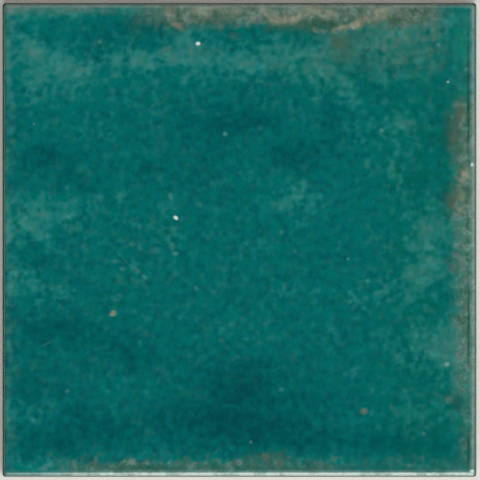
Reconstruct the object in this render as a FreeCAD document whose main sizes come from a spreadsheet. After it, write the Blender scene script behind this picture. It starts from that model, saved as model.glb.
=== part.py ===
import FreeCAD, Part
import Sketcher

import math
import os

# Square glazed wall tile, pressed and fired as one piece.
#
# It lies on its back with the glazed face up. X runs along its width and Y along its height on the
# wall, as seen from the front of the face, and Z is its thickness. The origin is the middle of the
# back, on the plane that the border and the ribs rest on. All sizes are in millimetres.

PARTS_FOLDER = "parts"
NODE = "tile"

# Driving dimensions: alias, value, what it measures
SIZES = [
    ("side", 150, "work size of the tile, across its base"),
    ("thickness", 9, "from the back plane to the middle of the face"),
    ("base_height", 3, "height of the base, which the die wall forms"),
    ("base_corner", 1, "corner radius of the base, in plan"),
    ("ledge", 0.5, "width of the step between base and upper body"),
    ("ledge_round", 0.3, "rounding of the step's outer edge"),
    ("body_corner", 1.25, "corner radius of the upper body at its foot, in plan"),
    ("side_draft", 1, "slope of the upper body's sides, in degrees"),
    ("roll_width", 12, "width of the band in which the face falls away"),
    ("roll_radius", 240, "radius of the face in that band"),
    ("arris", 1.1, "rounding between the face and the sides"),
    ("back_bevel", 0.8, "bevel round the back"),
    ("cell_count", 10, "keying cells along each side of the back"),
    ("cell_pitch", 13.6, "distance from one cell to the next"),
    ("cell_side", 11.2, "width of a cell at its mouth"),
    ("cell_depth", 0.9, "depth of a cell"),
    ("cell_draft", 30, "slope of a cell's walls, in degrees"),
    ("stock", 3, "extra height of the slug before its face is shaped"),
]


def make_sheet(doc):
    """The spreadsheet of driving dimensions, one named cell each."""
    sheet = doc.addObject("Spreadsheet::Sheet", "sizes")
    for row, (alias, value, meaning) in enumerate(SIZES, start=1):
        sheet.set("A%d" % row, meaning)
        sheet.set("B%d" % row, str(value))
        sheet.setAlias("B%d" % row, alias)
    doc.recompute()
    return sheet


def origin_item(body, role):
    """One of the body's own origin planes or axes."""
    return next(item for item in body.Origin.OriginFeatures if item.Role == role)


def add_sketch(body, name, role, offsets):
    """An empty sketch on an origin plane, moved in its own x, y or z by the given expressions."""
    sketch = body.newObject("Sketcher::SketchObject", name)
    sketch.AttachmentSupport = [(origin_item(body, role), "")]
    sketch.MapMode = "FlatFace"
    for axis, expression in offsets.items():
        sketch.setExpression("AttachmentOffset.Base.%s" % axis, expression)
    return sketch


def bind(sketch, name, expression, *constraint):
    """Adds a named dimension to a sketch and ties it to the spreadsheet."""
    index = sketch.addConstraint(Sketcher.Constraint(*constraint))
    sketch.renameConstraint(index, name)
    sketch.setExpression("Constraints.%s" % name, expression)


def draw_rounded_square(sketch, half, corner, half_expression, corner_expression):
    """A square with four equal corner arcs, centred on the sketch's origin."""
    flat = half - corner
    sides = [
        ((-flat, -half), (flat, -half)),
        ((half, -flat), (half, flat)),
        ((flat, half), (-flat, half)),
        ((-half, flat), (-half, -flat)),
    ]
    centres = [(flat, -flat), (flat, flat), (-flat, flat), (-flat, -flat)]
    lines = []
    arcs = []
    for turn in range(4):
        start, end = sides[turn]
        line = Part.LineSegment(FreeCAD.Vector(*start), FreeCAD.Vector(*end))
        lines.append(sketch.addGeometry(line, False))
        circle = Part.Circle(FreeCAD.Vector(*centres[turn]), FreeCAD.Vector(0, 0, 1), corner)
        arc = Part.ArcOfCircle(circle, (turn - 1) * math.pi / 2, turn * math.pi / 2)
        arcs.append(sketch.addGeometry(arc, False))
    for turn in range(4):
        after = lines[(turn + 1) % 4]
        lies = "Vertical" if turn % 2 else "Horizontal"
        sketch.addConstraint(Sketcher.Constraint("Tangent", lines[turn], 2, arcs[turn], 1))
        sketch.addConstraint(Sketcher.Constraint("Tangent", arcs[turn], 2, after, 1))
        sketch.addConstraint(Sketcher.Constraint(lies, lines[turn]))
    for arc in arcs[1:]:
        sketch.addConstraint(Sketcher.Constraint("Equal", arcs[0], arc))
    sketch.addConstraint(Sketcher.Constraint("Symmetric", lines[0], 1, lines[2], 1, -1, 1))
    bind(sketch, "corner", corner_expression, "Radius", arcs[0], corner)
    bind(sketch, "half_width", half_expression, "DistanceX", -1, 1, lines[1], 1, half)
    bind(sketch, "half_height", half_expression, "DistanceY", -1, 1, lines[2], 1, half)


def draw_square(sketch, half, half_expression):
    """A plain square, centred on the sketch's origin."""
    corners = [(-half, -half), (half, -half), (half, half), (-half, half)]
    lines = []
    for start, end in zip(corners, corners[1:] + corners[:1]):
        line = Part.LineSegment(FreeCAD.Vector(*start), FreeCAD.Vector(*end))
        lines.append(sketch.addGeometry(line, False))
    for turn, line in enumerate(lines):
        lies = "Vertical" if turn % 2 else "Horizontal"
        sketch.addConstraint(Sketcher.Constraint("Coincident", line, 2, lines[(turn + 1) % 4], 1))
        sketch.addConstraint(Sketcher.Constraint(lies, line))
    sketch.addConstraint(Sketcher.Constraint("Symmetric", lines[0], 1, lines[2], 1, -1, 1))
    bind(sketch, "half_width", half_expression, "DistanceX", -1, 1, lines[1], 1, half)
    bind(sketch, "half_height", half_expression, "DistanceY", -1, 1, lines[2], 1, half)


def draw_crown(sketch, sheet):
    """The face's section: flat in the middle, with an arc that falls away towards each edge.

    It reaches as far as the base does, past the upper body on both sides. Returns its two outer
    ends, each as a geometry number and a point number.
    """
    flat = sheet.side / 2 - sheet.roll_width
    reach = sheet.side / 2
    radius = sheet.roll_radius
    lean = math.asin((reach - flat) / radius)
    top = math.pi / 2
    middle = sketch.addGeometry(
        Part.LineSegment(FreeCAD.Vector(-flat, 0), FreeCAD.Vector(flat, 0)), False
    )
    left_circle = Part.Circle(FreeCAD.Vector(-flat, -radius), FreeCAD.Vector(0, 0, 1), radius)
    left = sketch.addGeometry(Part.ArcOfCircle(left_circle, top, top + lean), False)
    right_circle = Part.Circle(FreeCAD.Vector(flat, -radius), FreeCAD.Vector(0, 0, 1), radius)
    right = sketch.addGeometry(Part.ArcOfCircle(right_circle, top - lean, top), False)
    sketch.addConstraint(Sketcher.Constraint("PointOnObject", middle, 1, -1))
    sketch.addConstraint(Sketcher.Constraint("Symmetric", middle, 1, middle, 2, -2))
    sketch.addConstraint(Sketcher.Constraint("Tangent", middle, 1, left, 1))
    sketch.addConstraint(Sketcher.Constraint("Tangent", middle, 2, right, 2))
    sketch.addConstraint(Sketcher.Constraint("Equal", left, right))
    bind(sketch, "roll", "sizes.roll_radius", "Radius", left, radius)
    bind(sketch, "flat", "sizes.side / 2 - sizes.roll_width", "DistanceX", -1, 1, middle, 2, flat)
    bind(sketch, "reach_left", "sizes.side / 2", "DistanceX", left, 2, -1, 1, reach)
    bind(sketch, "reach_right", "sizes.side / 2", "DistanceX", -1, 1, right, 1, reach)
    return (left, 2), (right, 1)


def close_crown(sketch, sheet, left_end, right_end):
    """Closes the crown into the section of the cutter, with a straight top above the slug."""
    reach = sheet.side / 2
    radius = sheet.roll_radius
    fall = radius - math.sqrt(radius**2 - sheet.roll_width**2)
    height = 2 * sheet.stock
    corners = [(-reach, -fall), (-reach, height), (reach, height), (reach, -fall)]
    lines = []
    for start, end in zip(corners, corners[1:]):
        line = Part.LineSegment(FreeCAD.Vector(*start), FreeCAD.Vector(*end))
        lines.append(sketch.addGeometry(line, False))
    left, across, right = lines
    sketch.addConstraint(Sketcher.Constraint("Coincident", *left_end, left, 1))
    sketch.addConstraint(Sketcher.Constraint("Coincident", left, 2, across, 1))
    sketch.addConstraint(Sketcher.Constraint("Coincident", across, 2, right, 1))
    sketch.addConstraint(Sketcher.Constraint("Coincident", right, 2, *right_end))
    sketch.addConstraint(Sketcher.Constraint("Vertical", left))
    sketch.addConstraint(Sketcher.Constraint("Vertical", right))
    sketch.addConstraint(Sketcher.Constraint("Horizontal", across))
    bind(sketch, "height", "2 * sizes.stock", "DistanceY", -1, 1, across, 1, height)


def flat_face_rim(shape, height):
    """Names of the outer edges of the flat, level face that lies at one height."""
    for face in shape.Faces:
        level = isinstance(face.Surface, Part.Plane) and abs(face.normalAt(0, 0).z) > 0.999
        if level and abs(face.CenterOfMass.z - height) < 0.001:
            rim = face.OuterWire.Edges
            return [
                "Edge%d" % number
                for number, edge in enumerate(shape.Edges, start=1)
                if any(edge.isSame(other) for other in rim)
            ]
    raise RuntimeError("no level face at %g" % height)


def crown_rim(shape, sheet):
    """Names of the edges where the face meets the sides."""
    outside = (sheet.side - sheet.roll_width) / 2
    names = []
    for number, edge in enumerate(shape.Edges, start=1):
        points = edge.discretize(3)
        high = all(point.z > sheet.thickness / 2 for point in points)
        outer = all(max(abs(point.x), abs(point.y)) > outside for point in points)
        if high and outer:
            names.append("Edge%d" % number)
    return names


def press_body(body, sheet):
    """The pressed slug: a base as wide as the die, and a drafted body that stands in from it."""
    outline = add_sketch(body, "base_outline", "XY_Plane", {})
    draw_rounded_square(
        outline, sheet.side / 2, sheet.base_corner, "sizes.side / 2", "sizes.base_corner"
    )
    base = body.newObject("PartDesign::Pad", "base")
    base.Profile = outline
    base.setExpression("Length", "sizes.base_height")
    outline = add_sketch(body, "body_outline", "XY_Plane", {"z": "sizes.base_height"})
    draw_rounded_square(
        outline,
        sheet.side / 2 - sheet.ledge,
        sheet.body_corner,
        "sizes.side / 2 - sizes.ledge",
        "sizes.body_corner",
    )
    upper = body.newObject("PartDesign::Pad", "upper_body")
    upper.Profile = outline
    upper.setExpression("Length", "sizes.thickness - sizes.base_height + sizes.stock")
    upper.setExpression("TaperAngle", "-sizes.side_draft")
    return upper


def shape_face(body, sheet):
    """The cushioned face: its section is carried along a path of the same form.

    The section keeps its direction as it goes, so the face falls away from the flat middle by
    the sum of the fall along X and the fall along Y, with no crease on the diagonals.
    """
    path = add_sketch(body, "face_path", "YZ_Plane", {"y": "sizes.thickness"})
    draw_crown(path, sheet)
    fall = "sizes.roll_radius - sqrt(sizes.roll_radius^2 - sizes.roll_width^2)"
    start = {"y": "sizes.thickness - (%s)" % fall, "z": "sizes.side / 2"}
    section = add_sketch(body, "face_section", "XZ_Plane", start)
    left_end, right_end = draw_crown(section, sheet)
    close_crown(section, sheet, left_end, right_end)
    cut = body.newObject("PartDesign::SubtractivePipe", "face_cut")
    cut.Profile = section
    cut.Spine = (path, [""])
    cut.Mode = "Fixed"
    return cut


def dress_edges(doc, body, sheet):
    """The rounded arris of the face, the eased step of the base and the bevel round the back."""
    faced = body.Tip
    arris = body.newObject("PartDesign::Fillet", "arris")
    arris.Base = (faced, crown_rim(faced.Shape, sheet))
    arris.setExpression("Radius", "sizes.arris")
    body.Tip = arris
    doc.recompute()
    step = body.newObject("PartDesign::Fillet", "step_round")
    step.Base = (arris, flat_face_rim(arris.Shape, sheet.base_height))
    step.setExpression("Radius", "sizes.ledge_round")
    body.Tip = step
    doc.recompute()
    bevel = body.newObject("PartDesign::Chamfer", "back_bevel")
    bevel.Base = (step, flat_face_rim(step.Shape, 0))
    bevel.setExpression("Size", "sizes.back_bevel")
    body.Tip = bevel
    doc.recompute()
    return bevel


def key_back(doc, body, sheet):
    """The waffle of shallow cells that gives the adhesive its hold, with ribs left between."""
    first = "-sizes.cell_pitch * (sizes.cell_count - 1) / 2"
    outline = add_sketch(body, "cell_outline", "XY_Plane", {"x": first, "y": first})
    draw_square(outline, sheet.cell_side / 2, "sizes.cell_side / 2")
    cell = body.newObject("PartDesign::Pocket", "key_cell")
    cell.Profile = outline
    cell.Reversed = True
    cell.setExpression("Length", "sizes.cell_depth")
    cell.setExpression("TaperAngle", "-sizes.cell_draft")
    body.Tip = cell
    doc.recompute()
    grid = body.newObject("PartDesign::LinearPattern", "key_grid")
    grid.Originals = [cell]
    grid.Direction = (origin_item(body, "X_Axis"), [""])
    grid.Direction2 = (origin_item(body, "Y_Axis"), [""])
    for suffix in ("", "2"):
        setattr(grid, "Mode" + suffix, "Extent")
        grid.setExpression("Length" + suffix, "sizes.cell_pitch * (sizes.cell_count - 1)")
        grid.setExpression("Occurrences" + suffix, "sizes.cell_count")
    body.Tip = grid
    doc.recompute()
    return grid


def build_tile(doc, sheet):
    """The tile's body, with the volume after each step printed and compared."""
    body = doc.addObject("PartDesign::Body", NODE)
    body.Label = NODE
    body.Placement = FreeCAD.Placement()
    press_body(body, sheet)
    doc.recompute()
    slug = body.Shape.Volume
    shape_face(body, sheet)
    doc.recompute()
    faced = body.Shape.Volume
    dress_edges(doc, body, sheet)
    dressed = body.Shape.Volume
    key_back(doc, body, sheet)
    keyed = body.Shape.Volume
    print("slug %.0f, faced %.0f, dressed %.0f, keyed %.0f mm3" % (slug, faced, dressed, keyed))
    if not slug > faced > dressed > keyed > 0:
        raise RuntimeError("a cut took nothing away")
    return body


def check(doc, body, sheet):
    """Stops if any object failed, or if the solid isn't one valid piece of the stated size."""
    for item in doc.Objects:
        if "Invalid" in item.State or "Error" in item.State:
            raise RuntimeError("%s failed: %s" % (item.Name, item.State))
    shape = body.Shape
    if shape.isNull() or not shape.isValid() or len(shape.Solids) != 1:
        raise RuntimeError("the tile isn't one valid solid")
    box = shape.optimalBoundingBox(False)
    wanted = (sheet.side, sheet.side, sheet.thickness)
    if max(abs(a - b) for a, b in zip((box.XLength, box.YLength, box.ZLength), wanted)) > 0.01:
        raise RuntimeError("the tile measures %g x %g x %g" % (box.XLength, box.YLength, box.ZLength))


def main():
    """Builds the tile and writes its solid."""
    doc = FreeCAD.newDocument("wall_tile")
    sheet = make_sheet(doc)
    body = build_tile(doc, sheet)
    check(doc, body, sheet)
    os.makedirs(PARTS_FOLDER, exist_ok=True)
    body.Shape.exportStep("%s/%s.step" % (PARTS_FOLDER, body.Label))


main()
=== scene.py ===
import math

import bpy
import numpy as np
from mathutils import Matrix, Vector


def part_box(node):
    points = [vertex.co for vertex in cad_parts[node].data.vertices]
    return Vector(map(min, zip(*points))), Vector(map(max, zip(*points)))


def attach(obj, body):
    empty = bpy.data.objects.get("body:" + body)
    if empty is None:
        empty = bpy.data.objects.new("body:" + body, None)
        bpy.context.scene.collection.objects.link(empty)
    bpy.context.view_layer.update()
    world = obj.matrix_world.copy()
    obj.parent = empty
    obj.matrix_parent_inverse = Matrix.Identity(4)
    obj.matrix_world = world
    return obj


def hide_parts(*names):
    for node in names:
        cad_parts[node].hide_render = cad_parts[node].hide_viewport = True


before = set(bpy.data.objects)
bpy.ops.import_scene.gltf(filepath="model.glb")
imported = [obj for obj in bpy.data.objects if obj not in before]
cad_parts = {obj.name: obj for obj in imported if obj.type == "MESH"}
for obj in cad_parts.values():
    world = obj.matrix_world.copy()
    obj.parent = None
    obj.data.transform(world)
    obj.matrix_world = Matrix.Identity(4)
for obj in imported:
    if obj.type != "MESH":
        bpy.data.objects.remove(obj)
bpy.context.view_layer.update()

# The tile.
# One slab of pale clay, pressed dry in a steel die and fired once with its glaze on it. The die
# leaves a base with a small step above it, and a waffle of shallow cells in the back that the
# adhesive grips. The face and the sides are glazed down to the base, and the rest is bare.
mm = 0.001                  # the tile's sizes are in millimetres
tile_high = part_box("tile")[1]
half_side = tile_high.x / mm
thickness = tile_high.z / mm
base_height = 3.0
base_corner = 1.0           # radius of a corner in plan
step = 0.5                  # by which the upper body stands in from the base
body_corner = 1.25
side_slope = math.tan(math.radians(1.0))
roll_width = 12.0           # band in which the face falls away
roll_radius = 240.0
arris = 1.1                 # radius of the rounded edge between face and side
back_bevel = 0.8
cell_count = 10             # cells along each side of the back
cell_pitch = 13.6
cell_half = 5.6             # half a cell's width at its mouth
cell_depth = 0.9
cell_run = 0.5              # width of a cell's sloping wall
coat = 0.12                 # thickness of the glaze where it has run down over the base


def ripples(x, y, size, seed, waves=28):
    """Smooth random relief from -1 to 1: the sum of cosine waves of about one length, size, that
    run in random directions with random phases, scaled to a spread of about 0.5."""
    dice = np.random.default_rng(seed)
    heading = dice.uniform(0, 2 * np.pi, waves)
    pace = 2 * np.pi / size * dice.uniform(0.6, 1.6, waves)
    phase = dice.uniform(0, 2 * np.pi, waves)
    total = np.zeros(np.shape(x))
    for turn in range(waves):
        along = np.cos(heading[turn]) * x + np.sin(heading[turn]) * y
        total += np.cos(pace[turn] * along + phase[turn])
    return np.clip(total / np.sqrt(waves) * 0.7, -1, 1)


def both_ways(lines):
    """Grid lines for one axis, from those of its positive half, which start at zero."""
    return np.concatenate([-lines[:0:-1], lines])


def round_corners(x, y, centre):
    """Turns a square grid's corners into quarter circles. Beyond the corner centre on both axes,
    a point keeps its direction from that centre, and its larger offset becomes its distance."""
    over_x = np.maximum(np.abs(x) - centre, 0)
    over_y = np.maximum(np.abs(y) - centre, 0)
    ring = np.maximum(over_x, over_y)
    reach = np.hypot(over_x, over_y)
    shrink = np.divide(ring, reach, out=np.ones_like(ring), where=reach > 0)
    near_x = np.minimum(np.abs(x), centre) + over_x * shrink
    near_y = np.minimum(np.abs(y), centre) + over_y * shrink
    return np.sign(x) * near_x, np.sign(y) * near_y


def fall(offset):
    """How far the face has dropped at a distance from the middle: nothing up to the roll, then
    the height of a circle's arc below its tangent."""
    run = np.maximum(np.abs(offset) - (half_side - roll_width), 0)
    return roll_radius - np.sqrt(roll_radius**2 - run**2)


def rim(grid):
    """The outer ring of a square array, anticlockwise from its first corner."""
    return np.concatenate([grid[:-1, 0], grid[-1, :-1], grid[:0:-1, -1], grid[0, :0:-1]])


def quads(index):
    """The four corners of every cell of an array of vertex numbers."""
    corners = index[:-1, :-1], index[1:, :-1], index[1:, 1:], index[:-1, 1:]
    return np.stack(corners, axis=-1).reshape(-1, 4)


# Face: even lines up to the corner centre, then along the arris by equal turns of its arc. The
# melted glaze has settled in slow waves about a tenth of a millimetre deep.
body_centre = half_side - step - body_corner
face_steps = 81
arris_rings = 9
arris_turns = np.radians(np.linspace(2.4, 88.5, arris_rings))
wall_top = half_side - step - (thickness - arris - base_height) * side_slope
arris_centre = wall_top - arris
face_half = np.linspace(0, body_centre, face_steps + 1)
face_half = np.concatenate([face_half, arris_centre + arris * np.sin(arris_turns)])
arris_start = face_half[-arris_rings]
arris_drop = np.zeros(len(face_half))
arris_drop[-arris_rings:] = arris * (math.cos(arris_turns[0]) - np.cos(arris_turns))
face_lines = both_ways(face_half)
plan_x, plan_y = np.meshgrid(face_lines, face_lines, indexing="ij")
line_drop = np.abs(both_ways(arris_drop))
drop = np.maximum(line_drop[:, None], line_drop[None, :])
face_x, face_y = round_corners(plan_x, plan_y, body_centre)
inner_x, inner_y = (np.minimum(np.abs(plan), arris_start) for plan in (plan_x, plan_y))
settled = 0.09 + 0.06 * ripples(face_x, face_y, 34, 1) + 0.025 * ripples(face_x, face_y, 9, 2)
face_z = thickness - fall(inner_x) - fall(inner_y) - drop - np.maximum(settled, 0)

# Back: lines at the floor, wall and mouth of each cell, then along the border and the bevel. It
# is uneven by a few hundredths of a millimetre, as pressed clay is once fired.
cell_offsets = both_ways(np.array([0, 1.8, 3.6, 4.85, 5.08, 5.35, 5.62, 5.9]))  # from its middle
foot_half = half_side - coat
base_centre = half_side - base_corner
mid_border = foot_half - 4
back_half = [np.zeros(1)]
for cell in range(cell_count // 2):
    back_half.append((cell + 0.5) * cell_pitch + cell_offsets)
    back_half.append(np.array([(cell + 1) * cell_pitch]))
corner_share = (face_half[-arris_rings:] - body_centre) / (face_half[-1] - body_centre)
border = base_centre + corner_share * (foot_half - base_centre)
back_half[-1] = np.concatenate([[mid_border, base_centre], border])
back_lines = both_ways(np.concatenate(back_half))
back_plan_x, back_plan_y = np.meshgrid(back_lines, back_lines, indexing="ij")
back_x, back_y = round_corners(back_plan_x, back_plan_y, base_centre)
wall_ease = 0.12            # by which a cell's wall is eased in at both ends


def cell_share(offset):
    """How far into a cell a line lies, from 0 on the ribs to 1 on the cell's floor, with the wall
    as a smooth ramp between mouth and floor."""
    place = np.abs((np.abs(offset) % cell_pitch) - cell_pitch / 2)
    ramp = np.clip((cell_half + wall_ease - place) / (cell_run + 2 * wall_ease), 0, 1)
    inside = np.abs(offset) < cell_count / 2 * cell_pitch
    return np.where(inside, ramp * ramp * (3 - 2 * ramp), 0)


pressed_in = cell_share(back_plan_x) * cell_share(back_plan_y)
edge_run = np.maximum(np.abs(back_plan_x), np.abs(back_plan_y)) - (foot_half - back_bevel)

# The bevel is a ramp of 45 degrees. The square root eases its foot, and the small drop after it
# keeps the border at zero.
ease_squared = 0.02
ease_drop = 0.02
bevel_rise = 0.5 * (edge_run + np.sqrt(edge_run**2 + ease_squared)) - ease_drop
uneven = 0.02 + 0.012 * ripples(back_x, back_y, 5, 3) + 0.03 * ripples(back_x, back_y, 21, 4)
back_z = cell_depth * pressed_in + np.clip(bevel_rise, 0, back_bevel) + np.maximum(uneven, 0)

# Sides: rings between the face's rim and the back's. Each keeps a distance from the line that
# joins the corner centres, and its height runs from the arris down to the bevel.
face_rim = np.stack([rim(face_x), rim(face_y), rim(face_z)], axis=-1)
face_core = np.clip(np.stack([rim(plan_x), rim(plan_y)], axis=-1), -body_centre, body_centre)
outward = face_rim[:, :2] - face_core
outward /= np.linalg.norm(outward, axis=1, keepdims=True)


def side_ring(reach, height, spread):
    """One ring of the side: the corner centres' line, moved out along the face's own directions
    by reach. Spread is 0 for the upper body's corner centres and 1 for the base's."""
    core = face_core * (1 + spread * (base_centre / body_centre - 1))
    flat = core + outward * np.broadcast_to(reach, len(core))[:, None]
    return np.column_stack([flat, np.broadcast_to(height, len(core))])


along_x, along_y = face_rim[:, 0], face_rim[:, 1]
runs = ripples(along_x, along_y, 7, 5)
sags = ripples(along_x, along_y, 26, 6)
line_height = 1.85          # of the glaze's lower line, which sags and runs about it
glaze_line = np.clip(line_height + 0.38 * sags + 0.3 * runs, 1.15, 2.55)
pool = 0.24                 # radius of the hollow that the glaze fills above the step
pool_run = pool * 0.9       # its width
step_coat = 0.05            # thickness of the glaze on the step
lip = 0.08                  # how far the glaze stands out from the base's bare side at the step
edge_drop = 0.03            # height of the slope in which the glaze ends
quarter_turns = np.radians([30, 60, 90])
wall_foot = base_height + step_coat + pool
wall_rings = 8
rings = []
for share in np.linspace(0, 1, wall_rings + 1)[1:]:
    height = face_rim[:, 2] * (1 - share) + wall_foot * share
    swell = np.maximum(coat * share * (0.35 + 0.3 * runs), 0)
    foot_reach = body_corner - (height - base_height) * side_slope + swell
    rings.append(side_ring(foot_reach, height, 0))
for turn in quarter_turns:
    hollow = foot_reach + pool_run * (1 - np.cos(turn))
    rings.append(side_ring(hollow, wall_foot - pool * np.sin(turn), 0))
bare_reach = base_corner - coat
lip_reach = bare_reach + lip
for turn in quarter_turns:
    rounded = lip_reach - pool_run * (1 - math.sin(turn))
    rings.append(side_ring(rounded, wall_foot - 2 * pool + pool * np.cos(turn), 1))
lip_height = wall_foot - 2 * pool
for share, swell in ((0.35, 0.07), (0.7, 0.09), (0.92, 0.1), (1.0, 0.05)):
    rings.append(side_ring(bare_reach + swell, lip_height * (1 - share) + glaze_line * share, 1))
glazed_rings = len(rings)
rings.append(side_ring(bare_reach, glaze_line - edge_drop, 1))
rings.append(side_ring(bare_reach, (glaze_line - edge_drop + back_bevel) / 2, 1))

# The three parts joined into one closed mesh, glazed above the last glazed ring and bare below.
face_points = np.stack([face_x, face_y, face_z], axis=-1).reshape(-1, 3)
back_points = np.stack([back_x, back_y, back_z], axis=-1).reshape(-1, 3)
points = np.vstack([face_points] + rings + [back_points])
lines = len(face_lines)
face_index = np.arange(lines * lines).reshape(lines, lines)
ring_index = lines * lines + np.arange(len(rings) * len(face_rim)).reshape(len(rings), -1)
back_index = lines * lines + ring_index.size + face_index
side_index = np.vstack([rim(face_index), ring_index, rim(back_index)])
side_index = np.column_stack([side_index, side_index[:, :1]])
glazed = [quads(face_index), quads(side_index[: glazed_rings + 1])]
bare = [quads(side_index[glazed_rings:]), quads(back_index)[:, ::-1]]
faces = np.vstack(glazed + bare)
mesh = bpy.data.meshes.new("glazed_tile")
mesh.from_pydata((points * mm).tolist(), [], faces.tolist())
is_bare = np.arange(len(faces)) >= sum(len(part) for part in glazed)
mesh.polygons.foreach_set("material_index", is_bare.astype(np.int32))
mesh.polygons.foreach_set("use_smooth", np.ones(len(faces), bool))

# How the glaze came out, as fields over the mesh. A patch is a soft ellipse: where its middle
# lies, its two radii and its strength. Clouded is milky with crystals, deep and light are thick
# and thin glaze, olive is stained by iron, trough is the dark green between the tan waves, and
# copper is a brighter green.
clouded = [
    (-58, 56, 13, 6, 0.42), (-67, 61, 5, 5, 0.4), (-50, 52, 7, 4, 0.4), (-32, 57, 10, 5, 0.45),
    (-14, 56, 10, 5, 0.5), (-16, 64, 7, 5, 0.4), (2, 57, 9, 6, 0.42), (17, 58, 10, 6, 0.5),
    (27, 54, 8, 8, 0.45), (35, 46, 5, 6, 0.4), (33, 63, 6, 5, 0.5), (44, 64, 6, 5, 0.4),
    (52, 67, 8, 6, 0.5), (46, 54, 6, 5, 0.4), (60, 57, 9, 6, 0.3), (62, 68, 6, 4, 0.4), (50, 36, 8, 7, 0.38),
    (38, 33, 4, 5, 0.3), (49, 21, 3, 4, 0.35), (57, 29, 5, 4, 0.25), (-65, 45, 3, 4, 0.4),
    (-52, 46, 3, 3, 0.3), (-47, 34, 4, 3, 0.35), (-35, 42, 3, 3, 0.28), (-64, 8, 9, 7, 0.4),
    (-50, 10, 9, 5, 0.3), (-66, 3, 6, 4, 0.3), (-69, -10, 4, 4, 0.35), (-63, -15, 5, 3.5, 0.4),
    (-55, -17, 4, 3, 0.35), (-36, 14, 3, 3, 0.3), (-24, 12, 3, 5, 0.35), (-21, 0, 3, 6, 0.25),
    (-31, -5, 4, 7, 0.22), (4, -4, 6, 6, 0.18), (14, -17, 3, 3, 0.4), (17, 13, 8, 5, 0.38),
    (3, 21, 3, 4, 0.2), (35, -19, 4, 3, 0.35), (46, -17, 4, 4, 0.35), (55, -14, 6, 4, 0.3),
    (60, 4, 7, 8, 0.52), (58, -9, 7, 5, 0.4), (57, -34, 9, 7, 0.36), (66, -36, 4, 12, 0.4),
    (55, -55, 8, 4, 0.35), (65, -53, 4, 4, 0.3), (-65, -54, 5, 4, 0.28), (-36, -52, 6, 3, 0.15),
    (-61, -70.8, 4.5, 2.2, 0.7), (31, -70.5, 4, 2, 0.3), (-66, 51, 4, 3, 0.35), (-67, 72, 5, 3, 0.4),
    (-54, 71.5, 8, 2.5, 0.3), (61, -16, 12, 30, 0.14),
]
deep = [
    (-3, -58, 20, 8, 0.75), (2, -48, 14, 8, 0.4), (20, -63, 14, 4, 0.4), (-38, -60, 12, 6, 0.4),
    (-60, -64, 14, 5, 0.4), (50, -64, 22, 5, 0.4), (-58, -28, 14, 6, 0.4), (-36, -36, 12, 6, 0.4),
    (-65, -45, 8, 5, 0.35), (-52, -56, 6, 8, 0.3), (0, -42, 20, 6, 0.3), (28, -50, 10, 5, 0.25),
    (-5, 36, 8, 6, 0.4), (6, 38, 6, 3, 0.45), (18, 27, 9, 5, 0.5), (30, 37, 4, 6, 0.45),
    (-61, 26, 7, 5, 0.45), (-50, 18, 7, 3, 0.35), (-28, 22, 5, 3, 0.35), (-12, 22, 5, 4, 0.25),
    (-17, 35, 8, 6, 0.2), (66, 33, 5, 6, 0.4), (57, 20, 3, 3, 0.35), (65, 12, 3, 3, 0.35),
    (69, -50.5, 2.2, 3.4, 0.9), (-61, 62.5, 3, 2, 0.4), (-58.5, 69.5, 4, 1.6, 0.4),
    (-45, 66, 5, 3, 0.3), (-30, 67, 8, 3, 0.3), (-45, 57, 4, 4, 0.3), (-63, -7, 4, 3, 0.35),
]
light = [
    (-64, 56, 10, 8, 0.7), (-45, 50, 14, 6, 0.5), (-62, 66, 8, 5, 0.4), (-20, 52, 15, 6, 0.35),
    (20, 55, 20, 6, 0.25), (58, 60, 10, 10, 0.4), (45, 68, 8, 4, 0.4), (-60, 10, 13, 5, 0.7),
    (-68, -14, 8, 5, 0.4), (-24, 11, 6, 5, 0.4), (15, 13, 9, 6, 0.5), (58, 4, 9, 9, 0.25),
    (66, -18, 6, 12, 0.2), (66, -42, 4, 8, 0.2), (50, 35, 9, 8, 0.2), (60, -33, 10, 10, 0.1),
    (70, 66, 3, 8, 0.8), (-60, 71.5, 24, 4, 0.9), (64, -54, 6, 5, 0.3), (-55, 35, 12, 6, 0.2),
    (-62, -71.5, 6, 2, 2), (31, -70.5, 4, 2, 0.8),
]
olive = [
    (31.8, 64, 5.4, 3.4, 0.8), (33, 59, 5, 3.8, 0.5), (20, 68.6, 8, 2.2, 0.8), (-33, 70, 3, 4, 0.3),
    (57, 72, 6, 2.6, 0.8), (68, 35.2, 2.4, 5.4, 1.1), (67.5, 12.5, 2.6, 4, 0.7), (67.4, -8.2, 2.2, 2.6, 0.6),
    (71, -26, 1.4, 12, 0.8), (72, 12, 1.2, 4, 0.4), (66.3, -50.2, 1.8, 1.5, 0.4), (4, -69.6, 4, 1.8, 0.7),
    (12, -68.8, 4, 1.8, 0.7), (-45, -71, 3, 1, 0.6), (-32, -71, 4, 1.2, 0.6), (12, 55, 2.6, 1.6, 0.3),
    (-18, 68.5, 5, 2.2, 0.6), (-13, 59.5, 7, 1, 0.2),
]
trough = [
    (27, 68.2, 6, 1.5, 0.9), (12, 66.6, 4, 1.2, 0.4), (-11, 69.6, 4, 1.4, 0.6), (57, 72, 6, 1.8, 0.5),
    (68.4, 15.4, 1.4, 2.6, 0.7), (66.5, 9, 1, 2, 0.5), (-34, -72, 14, 0.9, 0.8), (6, -72, 24, 0.8, 0.7),
]
copper = [(70.6, 64, 2.6, 9, 0.75), (70.6, 28, 1, 5, 0.5), (71.4, -8, 0.9, 12, 0.3)]


def patches(spots, x, y):
    """The sum of the patches' bell curves, each its strength times exp of minus the distance
    from its middle squared, counted in radii."""
    total = np.zeros(len(x))
    for middle_x, middle_y, radius_x, radius_y, strength in spots:
        away = ((x - middle_x) / radius_x) ** 2 + ((y - middle_y) / radius_y) ** 2
        total += strength * np.exp(-away)
    return total


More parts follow.
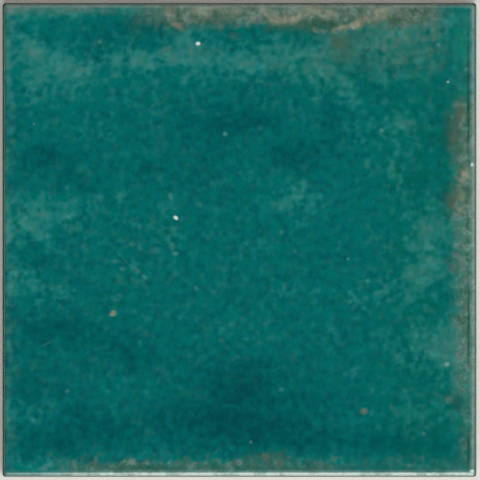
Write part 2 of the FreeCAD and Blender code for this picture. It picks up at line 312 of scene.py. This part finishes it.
def rise(value, low, high):
    """From 0 below low to 1 above high, with a smooth step between."""
    share = np.clip((value - low) / (high - low), 0, 1)
    return share * share * (3 - 2 * share)


at_x, at_y, at_z = points.T
fray = ripples(at_x, at_y, 3.2, 7) + 0.6 * ripples(at_x, at_y, 11, 8)
drag = ripples(at_x, at_y, 3.4, 9)

# The arris, where the glaze draws thin, with painted highlight: the strip is pale along the lower,
# right and upper edges, which face the lamps, and left out on the shaded left. Each edge's strip
# ends at the diagonals.
down_wall = rise(at_z, base_height + 0.4, base_height + 3.5)
to_bottom = rise(-at_y - np.abs(at_x), -1.2, 0.4)
to_right = rise(at_x - np.abs(at_y), -1.2, 0.4)
to_top = rise(at_y - np.abs(at_x), -1.2, 0.4)
outwards = np.maximum(np.abs(at_x), np.abs(at_y)) + 0.08 * to_bottom + 0.5 * to_right
over_edge = rise(outwards, arris_start - 0.25, arris_start + 0.45)
bared_and_lit = to_bottom * (0.25 + 0.75 * rise(at_x, -66, -38)) + 0.25 * to_top
bared_and_lit += to_right * (0.15 + 0.06 * rise(at_y, 35, 50)) * rise(-at_x, -74.3, -73.7)

# Veils along the edges. Most grow over a few millimetres towards their edge, with a frayed border,
# and keep to a stretch of it. Greened is a wide tint on the right, faint by the upper corner.
edge_clouds = 0.5 * rise(at_y + 1.5 * fray, 70, 74.5) + 0.4 * rise(-at_x + fray, 70, 74.5)
edge_clouds += 0.2 * rise(at_x, 69, 72)
edge_clouds += 0.45 * rise(at_x, 66, 71) * rise(-at_y, -48, -20) * rise(at_y, -56, -44)
top_haze = rise(at_y + 1.2 * fray, 66.2, 70.4) * rise(at_x, -36, -20) * rise(-at_x, -66, -56)
top_haze += 0.35 * rise(at_y + 0.5 * fray, 70.5, 73.5) * rise(-at_x, 34, 42)
dappled = (0.17 + 0.2 * drag) * rise(at_x, 30, 46) * rise(-at_x, -68, -62)
top_haze += dappled * rise(at_y + 2.5 * fray, 49, 60)
right_haze = rise(at_x + 1.2 * fray, 66, 71) * rise(at_y, -8, 16) * rise(-at_y, -47, -40)
lower_haze = rise(at_x + 1.2 * fray, 66, 71) * rise(-at_y, -18, 2) * rise(at_y, -54, -42)
bottom_haze = rise(-at_y + 2.2 * fray, 68.7, 71.2) * rise(at_x, -62, -44)
bottom_haze *= (1 - 0.25 * rise(at_x, -20, 0)) * (1 - 0.75 * rise(at_x, 24, 36))
side_haze = 0.1 * rise(-at_x + 1.5 * fray, 70, 74)
side_haze += 0.3 * rise(at_x + 0.6 * fray, 69, 72) * rise(-at_y, 30, 50) + 0.05 * rise(at_x, 66, 70)
greened = np.maximum(rise(at_x, 34, 56), rise(at_y, 40, 56) * rise(at_x, 0, 24))
greened *= 1 - 0.8 * rise(at_x, 62, 68) * rise(at_y, 40, 52)
fields = {
    "clouded": patches(clouded, at_x + 2 * fray, at_y + 2 * drag) + edge_clouds,
    # Beside thick glaze, the deep field also darkens the left arris as painted shade.
    "deep": patches(deep, at_x, at_y) + 0.12 * rise(-at_x, 72.4, 74.2),
    "light": patches(light, at_x, at_y),
    "haze": np.maximum(top_haze, 0.68 * right_haze),
    "green_haze": np.maximum(np.maximum(0.75 * lower_haze, 0.68 * bottom_haze), side_haze),
    "greened": greened,
    # Pale clay where the glaze is thin, plus painted highlight along the lit edges of the arris.
    "thin_and_highlit": over_edge * down_wall * bared_and_lit,
    "olive": patches(olive, at_x + 0.8 * fray, at_y + 0.8 * drag),
    "trough": patches(trough, at_x + 0.25 * fray, at_y + 0.25 * drag),
    "copper": patches(copper, at_x + 0.5 * fray, at_y),
    # Dark on the step and the foot of the sides: pooled glaze and painted shade.
    "pooled_and_shaded": rise(-at_z, -base_height - 1.4, -base_height - 0.2),
}
for name, values in fields.items():
    mesh.attributes.new(name, "FLOAT", "POINT").data.foreach_set("value", np.clip(values, 0, 1))


def linear(code):
    """A colour as the shader counts light, from its sRGB hex code."""
    parts = [int(code[place:place + 2], 16) / 255 for place in (0, 2, 4)]
    return [p / 12.92 if p <= 0.04045 else ((p + 0.055) / 1.055) ** 2.4 for p in parts] + [1.0]


def add(tree, kind, inputs=None, out=0, **settings):
    """Adds a node with its settings and gives one of its outputs, or the node where out is None.
    An input, by name or number, is an output to link, a colour's hex code or a plain value."""
    node = tree.nodes.new(kind)
    for name, value in settings.items():
        setattr(node, name, value)
    for place, given in (inputs or {}).items():
        if isinstance(given, bpy.types.NodeSocket):
            tree.links.new(given, node.inputs[place])
        else:
            node.inputs[place].default_value = linear(given) if isinstance(given, str) else given
    return node if out is None else node.outputs[out]


def new_material(name):
    """An empty material with its surface shader. Gives the material, its node tree and shader."""
    material = bpy.data.materials.new(name)
    material.use_nodes = True
    tree = material.node_tree
    tree.nodes.clear()
    shader = add(tree, "ShaderNodeBsdfPrincipled", out=None)
    add(tree, "ShaderNodeOutputMaterial", {"Surface": shader.outputs[0]}, None)
    return material, tree, shader


def mottled(tree, place, size, low, high, seed, detail=4.0, roughness=0.6):
    """Where a cloudy noise with spots of one size, in millimetres, is above a level: 0 below low,
    1 above high, with a smooth step between."""
    cloudy = {"Vector": place, "W": seed, "Scale": 1 / size, "Detail": detail, "Roughness": roughness}
    noise = add(tree, "ShaderNodeTexNoise", cloudy, noise_dimensions="4D")
    step_up = {"Value": noise, "From Min": low, "From Max": high}
    return add(tree, "ShaderNodeMapRange", step_up, interpolation_type="SMOOTHSTEP")


# Reactive teal glaze.
# Glossy and deep in colour: darker where it lies thick, greyed in patches by crystals, stained tan
# and olive by iron along its edges, and broken to the pale clay where the arris draws it thin. Painted
# highlight lightens the arris on the lit edges, and painted shade darkens the left arris and the foot.
glaze, tree, shader = new_material("reactive_teal_glaze")
place = add(tree, "ShaderNodeTexCoord", out="Object")
place = add(tree, "ShaderNodeMapping", {"Vector": place, "Scale": (1 / mm,) * 3})
field = {name: add(tree, "ShaderNodeAttribute", out="Fac", attribute_name=name) for name in fields}


def weighted(tree, *parts):
    """The sum of values, each an output, a number, or a pair of an output and its weight."""
    running = 0.0
    for part in parts:
        value, factor = part if isinstance(part, tuple) else (part, 1.0)
        running = add(tree, "ShaderNodeMath", {0: value, 1: factor, 2: running}, operation="MULTIPLY_ADD")
    return running


mottle = {"Vector": place, "W": 1.0, "Scale": 1 / 2.2, "Detail": 1.0, "Roughness": 0.5}
mottle = add(tree, "ShaderNodeTexNoise", mottle, noise_dimensions="4D")
depth = weighted(tree, mottle, (field["light"], 0.25), (field["deep"], -0.55))
darker = add(tree, "ShaderNodeMapRange", {"Value": depth, "From Min": 0.48, "From Max": 0.0})
lighter = add(tree, "ShaderNodeMapRange", {"Value": depth, "From Min": 0.44, "From Max": 0.96})
tint = mottled(tree, place, 1.8, 0.3, 0.7, 4.0, 2.0, 0.7)

milk = {"Vector": place, "W": 2.0, "Scale": 1 / 3.6, "Detail": 1.0, "Roughness": 0.6}
milk = add(tree, "ShaderNodeTexNoise", milk, noise_dimensions="4D")
greyed = weighted(tree, (mottle, 0.6), (milk, 1.2), (field["clouded"], 1.1), (field["deep"], -0.3), -1.1)
greyed = add(tree, "ShaderNodeMapRange", {"Value": greyed, "From Max": 0.84})
whitish = add(tree, "ShaderNodeMapRange", {"Value": greyed, "From Max": 0.42})

# Layers of colour, each laid over those before it: where it lies, how densely, and its colour.
layers = [
    (tint, 1.0, "00675C"),
    (darker, 1.0, "004C50"),
    (lighter, 1.0, "00776F"),
    (whitish, 1.0, "007A74"),
    (greyed, weighted(tree, (greyed, 0.7), 0.12), "5E8078"),
    (field["greened"], weighted(tree, (tint, 0.2), 0.16), "00604E"),
]
colour = "006368"

# Crystals that grew in the melt as soft flecks one to two millimetres across, thickest in the
# clouded patches: each is bluish, yellowish or pinkish by chance.
fleck = {"Vector": place, "W": 3.0, "Scale": 1 / 2.1, "Detail": 0.7, "Roughness": 0.4}
fleck = add(tree, "ShaderNodeTexNoise", fleck, noise_dimensions="4D")
fleck = add(tree, "ShaderNodeMapRange", {"Value": fleck, "From Min": 0.48, "From Max": 0.8})
crowd = mottled(tree, place, 6.0, 0.4, 0.65, 13.0, 1.0, 0.5)
grown = weighted(tree, (field["clouded"], 0.56), (crowd, 0.15), (field["deep"], -0.28), 0.07)
chance = {"Vector": place, "Scale": 1 / 2.0, "Detail": 0.0}
chance = add(tree, "ShaderNodeTexNoise", chance, "Color")
chance = add(tree, "ShaderNodeSeparateColor", {0: chance}, None)
yellowish = add(tree, "ShaderNodeMapRange", {"Value": chance.outputs[0], "From Min": 0.42, "From Max": 0.58})
pinkish = add(tree, "ShaderNodeMapRange", {"Value": chance.outputs[1], "From Min": 0.57, "From Max": 0.72})
crystal = add(tree, "ShaderNodeMix", {0: yellowish, 6: "3A9CA0", 7: "449A86"}, 2, data_type="RGBA")
crystal = add(tree, "ShaderNodeMix", {0: pinkish, 6: crystal, 7: "609A96"}, 2, data_type="RGBA")
layers.append((fleck, grown, crystal))

# Marks that can be told apart, as soft ellipses: middle, half length, half width, turn in degrees
# and strength. The glaze dragged the tan and the rusty iron stains into waves, so their outlines
# are warped. White specks, pale flecks and scratches, and the dark lines where the glaze lies
# thick beside the arris, keep theirs.
flat_place = add(tree, "ShaderNodeVectorMath", {0: place, 1: (1, 1, 0)}, operation="MULTIPLY")
warp = {"Vector": flat_place, "Scale": 1 / 3.2, "Detail": 3.0}
warp = add(tree, "ShaderNodeTexNoise", warp, "Color")
warp = add(tree, "ShaderNodeVectorMath", {0: warp, 1: (0.5, 0.5, 0.5)}, operation="SUBTRACT")
warped = {0: warp, 1: (2.4, 2.4, 0), 2: flat_place}
warped = add(tree, "ShaderNodeVectorMath", warped, operation="MULTIPLY_ADD")
tan = [
    (9, 71.4, 4.6, 1.7, -40, 0.6), (14.5, 69.8, 4.6, 1.8, 8, 0.7), (20, 71.4, 4.4, 1.9, 28, 0.8),
    (26.5, 71.8, 4.6, 1.7, -12, 0.8), (25.4, 65.9, 2.8, 0.9, -10, 0.5), (32.9, 66.6, 3.6, 1.1, 12, 0.9),
    (36, 67.6, 3, 1.1, 30, 0.8), (38, 68.6, 3, 1.8, 50, 0.6), (43.4, 71, 4.4, 1.9, 24, 0.8),
    (49, 72.4, 4, 1.2, 0, 0.3), (-12.5, 72.6, 3.6, 1.5, 8, 0.5), (-7, 73, 3.4, 1.4, -12, 0.4),
    (-19.5, 67.8, 2.4, 1.4, -30, 0.5), (-21.4, 71.8, 1.8, 1.5, 0, 0.5), (-11, 70.6, 2.6, 1.2, 30, 0.4),
    (1, 72.2, 4.0, 1.2, 0, 0.4), (71, 20.6, 2.8, 1.5, 90, 0.9), (69.6, 12, 5.0, 1.7, 90, 0.5),
    (39.3, -54.1, 1.3, 1.0, 20, 0.5), (-40, -23.1, 1.2, 0.9, 35, 0.8), (66.2, -50.4, 1.3, 1.1, 0, 0.4),
]
rust = [
    (69.6, 41, 2.8, 1.2, 90, 0.6), (67.4, 31.5, 2.2, 1.2, 90, 0.15), (38.2, 69.2, 2.0, 1.8, 0, 0.4),
    (67.6, -8.0, 1.2, 1.0, 0, 0.5), (67.4, 12, 2.6, 1.4, 90, 0.5), (23, 73.6, 4.6, 0.7, 0, 0.7),
    (39.1, -54.3, 1.4, 1.0, 20, 0.6), (13, -70.6, 1.4, 0.9, 90, 0.5), (8, -68.6, 1.2, 1.0, 60, 0.5),
    (-17.8, 67.4, 2.0, 1.0, -20, 0.3), (-22, 73, 1.4, 1.2, 90, 0.5), (-3, 74, 9, 0.6, 0, 0.5),
    (28, 59, 1.6, 1.4, 0, 0.15), (-23, 60, 2.0, 1.2, 0, 0.3), (-1.5, 64.7, 1.6, 1.2, 0, 0.3),
]
white = [
    (-13.1, 62, 0.75, 0.62, 0, 1.0), (-20.1, 7, 0.85, 0.6, -35, 1.0), (73.4, 23.8, 0.7, 0.45, 90, 0.8),
    (73.5, -62, 11, 0.45, 90, 0.06), (73.4, -73, 0.7, 0.6, 0, 0.9), (65.5, -39.2, 0.8, 0.7, 0, 0.2),
    (65.8, 49.9, 0.5, 0.4, 0, 0.35), (3.6, -63.8, 0.55, 0.5, 0, 0.1), (34.2, -6, 0.55, 0.5, 0, 0.07),
    (-64.9, 36.6, 0.45, 0.4, 0, 0.08),
]
flecks = [
    (-27.6, 57.8, 1.4, 0.6, 27, 0.6), (-23.2, 58.7, 1.3, 0.7, 10, 0.6), (-17.6, 56.2, 1.5, 0.6, -54, 0.6),
    (-38.6, -6.6, 1.2, 0.8, 0, 0.7), (-36.8, -9.1, 1.1, 0.8, 0, 0.7), (-32.2, -9.6, 1.3, 0.7, -50, 1.0),
    (-30.1, -11.6, 1.4, 0.7, -45, 1.0), (-21.3, -2.0, 1.4, 0.9, 90, 0.9), (-20.3, -4.3, 1.1, 0.8, 0, 1.0),
    (-33.9, -1.3, 1.0, 0.8, 0, 0.9), (-26.5, -3.2, 1.8, 1.2, 0, 0.7), (-31.5, 4.3, 0.9, 0.8, 0, 0.8),
    (-38.5, -18.2, 1.9, 1.1, 30, 0.7), (-48.4, -23.3, 0.8, 0.7, 0, 0.9), (-21.6, 13.8, 1.4, 0.9, -60, 0.9),
    (-12.8, 11.2, 1.2, 0.9, 0, 0.9), (-43.9, 62.8, 1.0, 0.8, 40, 1.0), (-26.7, 59, 11, 0.35, 20, 0.45),
    (42.8, 63, 6.5, 0.35, 45, 0.4), (-36.3, -6.3, 10.5, 0.3, -48, 0.35), (-61, -32.8, 2.6, 0.5, 28, 0.35),
    (-26, 3.6, 9, 0.3, 2, 0.2),
]
thick = [(72.3, 44, 20, 0.55, 90, 1.0), (72.3, -27, 15, 0.5, 90, 0.9), (72.3, -66, 7, 0.55, 90, 1.0)]
full_reach, fade_reach = 0.35, 1.35     # in radii: a mark is whole up to one, gone beyond the other
marks = {}
listed = {"tan": (tan, warped), "rust": (rust, warped), "white": (white, flat_place),
          "flecks": (flecks, flat_place), "thick": (thick, flat_place)}
for name, (ellipses, ground) in listed.items():
    marked = 0.0
    for x, y, length, width, turn, strength in ellipses:
        middle = {"Vector": ground, "Location": (x, y, 0), "Rotation": (0, 0, math.radians(turn)),
                  "Scale": (length, width, 1)}
        centred = add(tree, "ShaderNodeMapping", middle, vector_type="TEXTURE")
        away = add(tree, "ShaderNodeVectorMath", {0: centred}, "Value", operation="LENGTH")
        soft = {"Value": away, "From Min": fade_reach, "From Max": full_reach, "To Max": strength}
        spot = add(tree, "ShaderNodeMapRange", soft, interpolation_type="SMOOTHSTEP")
        marked = add(tree, "ShaderNodeMath", {0: marked, 1: spot}, operation="ADD")
    marks[name] = marked

# How the stains break up: in grains, in streaks drawn out along Y, and in pale, dark and mauve
# spots, two millimetres across or a little more, that mottle the veils.
grain = mottled(tree, place, 2.0, 0.3, 0.62, 6.0)
broken = mottled(tree, place, 1.9, 0.25, 0.72, 11.0, 1.0, 0.5)
drawn = add(tree, "ShaderNodeMapping", {"Vector": place, "Scale": (1, 0.14, 1)})
streaks = mottled(tree, drawn, 1.1, 0.35, 0.65, 14.0, 2.0, 0.6)
pale_spots = mottled(tree, place, 2.4, 0.46, 0.68, 8.0, 2.0, 0.6)
dark_spots = mottled(tree, place, 2.6, 0.46, 0.68, 9.0, 2.0, 0.6)
mauve_spots = mottled(tree, place, 2.0, 0.5, 0.68, 10.0, 2.0, 0.6)
mottles = weighted(tree, field["haze"], (field["green_haze"], 1.3))
layers += [
    (field["green_haze"], weighted(tree, (grain, 0.75), 0.15), "4D7A68"),
    (field["copper"], weighted(tree, (streaks, 0.9), 0.1), "148068"),
    (field["haze"], weighted(tree, (grain, 0.3), 0.6), "5C7460"),
    (field["olive"], weighted(tree, (broken, 0.7), 0.3), "465F4F"),
    (mottles, weighted(tree, (pale_spots, 0.58)), "849E96"),
    (mottles, weighted(tree, (mauve_spots, 0.5)), "74787E"),
    (mottles, weighted(tree, (dark_spots, 0.85)), "345C49"),
    (field["trough"], weighted(tree, (broken, 0.5), 0.45), "285642"),
    (marks["thick"], weighted(tree, (broken, 0.4), 0.6), "1E4C3A"),
    (marks["tan"], weighted(tree, (broken, 0.8), 0.15), "989884"),
    (marks["rust"], weighted(tree, (broken, 0.5), 0.3), "6C6048"),
    (marks["flecks"], weighted(tree, (broken, 0.35), 0.08), "55A098"),
]

# Pale specks: bits of unmelted frit under the surface, about a millimetre across. One cell of
# their pattern in eight holds one.
nudged = {0: warp, 1: (1.2, 1.2, 1.2), 2: place}
nudged = add(tree, "ShaderNodeVectorMath", nudged, operation="MULTIPLY_ADD")
frit = add(tree, "ShaderNodeTexVoronoi", {"Vector": nudged, "Scale": 1 / 4.5}, None)
near = {"Value": frit.outputs["Distance"], "From Min": 0.26, "From Max": 0.02}
near = add(tree, "ShaderNodeMapRange", near, interpolation_type="SMOOTHSTEP")
chosen = add(tree, "ShaderNodeSeparateColor", {0: frit.outputs["Color"]})
chosen = add(tree, "ShaderNodeMapRange", {"Value": chosen, "From Min": 0.88, "To Max": 0.5})

# The last layers: these specks and the white ones, the clay that shows through along the arris
# with painted highlight on its lit edges, and the step and the foot of the sides, dark both as
# pooled glaze and as painted shade.
patchy = mottled(tree, place, 4.0, 0.35, 0.6, 12.0, 2.0, 0.6)
layers += [
    (near, chosen, "62A8A2"),
    (marks["white"], 1.0, "D8E6E4"),
    (field["thin_and_highlit"], weighted(tree, (patchy, 0.7), 0.42), "ABC0B9"),
    (field["pooled_and_shaded"], 0.85, "1E3A34"),
]
for where, density, over in layers:
    share = add(tree, "ShaderNodeMath", {0: where, 1: density}, operation="MULTIPLY", use_clamp=True)
    colour = add(tree, "ShaderNodeMix", {0: share, 6: colour, 7: over}, 2, data_type="RGBA")
tree.links.new(colour, shader.inputs["Base Color"])
shader.inputs["Roughness"].default_value = 0.13
shader.inputs["IOR"].default_value = 1.5

# Bare fired clay.
# The body itself: dry, matt and sandy, off-white with a warm cast. Its darker grains are drawn at
# 0.8 mm, coarser than real grit, so that they show.
clay, tree, shader = new_material("bare_fired_clay")
place = add(tree, "ShaderNodeTexCoord", out="Object")
place = add(tree, "ShaderNodeMapping", {"Vector": place, "Scale": (1 / mm,) * 3})
colour = "DDCDB3"
layers = [
    (mottled(tree, place, 12, 0.4, 0.65, 1.0), "CFBB9C"),
    (mottled(tree, place, 0.8, 0.58, 0.72, 2.0), "B39C7C"),
]
for share, over in layers:
    colour = add(tree, "ShaderNodeMix", {0: share, 6: colour, 7: over}, 2, data_type="RGBA")
tree.links.new(colour, shader.inputs["Base Color"])
shader.inputs["Roughness"].default_value = 0.85

tile = bpy.data.objects.new("glazed_tile", mesh)
bpy.context.collection.objects.link(tile)
mesh.materials.append(glaze)
mesh.materials.append(clay)
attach(tile, "root")
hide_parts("tile")

# The floor.
# A plain sheet of matt pale paper, ten metres wide so that it fills any view. The tile's back
# rests on it, and it isn't part of the tile.
floor_half = 5.0
corners = [(-floor_half, -floor_half, 0), (floor_half, -floor_half, 0), (floor_half, floor_half, 0),
           (-floor_half, floor_half, 0)]
floor_mesh = bpy.data.meshes.new("floor")
floor_mesh.from_pydata(corners, [], [(0, 1, 2, 3)])
paper, tree, shader = new_material("matt_pale_paper")
shader.inputs["Base Color"].default_value = linear("E4E2DD")
shader.inputs["Roughness"].default_value = 0.9
floor_mesh.materials.append(paper)
floor = bpy.data.objects.new("floor", floor_mesh)
bpy.context.collection.objects.link(floor)


# The light.
# Two large soft boxes on the sides of the tile's lower and right edges, a weaker one opposite
# them, and a dim even sky, so that the face seen from above mirrors nothing bright.
def soft_box(name, azimuth, elevation, size, power):
    """A square lamp three metres away that faces the tile. Azimuth is 0 from -Y, 90 from +X."""
    light = bpy.data.lights.new(name, "AREA")
    light.shape = "SQUARE"
    light.size = size
    light.energy = power
    box = bpy.data.objects.new(name, light)
    bpy.context.collection.objects.link(box)
    turn, lift = math.radians(azimuth), math.radians(elevation)
    away = 3.0
    box.location = (away * math.sin(turn) * math.cos(lift), -away * math.cos(turn) * math.cos(lift),
                    away * math.sin(lift))
    box.rotation_euler = (math.pi / 2 - lift, 0, turn)
    box.visible_camera = False


soft_box("lower_box", 8, 42, 2.6, 90)
soft_box("right_box", 78, 42, 2.8, 42)
soft_box("upper_box", 192, 45, 3.2, 22)
world = bpy.data.worlds.new("dim_even_sky")
world.use_nodes = True
sky = world.node_tree.nodes["Background"]
sky.inputs["Color"].default_value = linear("FFFFFF")
sky.inputs["Strength"].default_value = 0.02
bpy.context.scene.world = world

# The camera.
# Straight above the middle of the tile, far off with a long lens, so that the face fills the frame
# as square as it does in the photograph.
frame_pixels = 480
tile_pixels = 475.2         # across the tile's full width, at the height of its face
distance = 2.5
camera_data = bpy.data.cameras.new("camera")
camera = bpy.data.objects.new("camera", camera_data)
bpy.context.collection.objects.link(camera)
view_width = 2 * half_side * mm * frame_pixels / tile_pixels
camera_data.sensor_width = 36
camera_data.lens = camera_data.sensor_width * (distance - thickness * mm) / view_width
half_pixel = 0.5 * view_width / frame_pixels
camera.location = (half_pixel, 0, distance)
camera_data.clip_end = 10
bpy.context.scene.camera = camera
bpy.context.scene.view_settings.view_transform = "Standard"
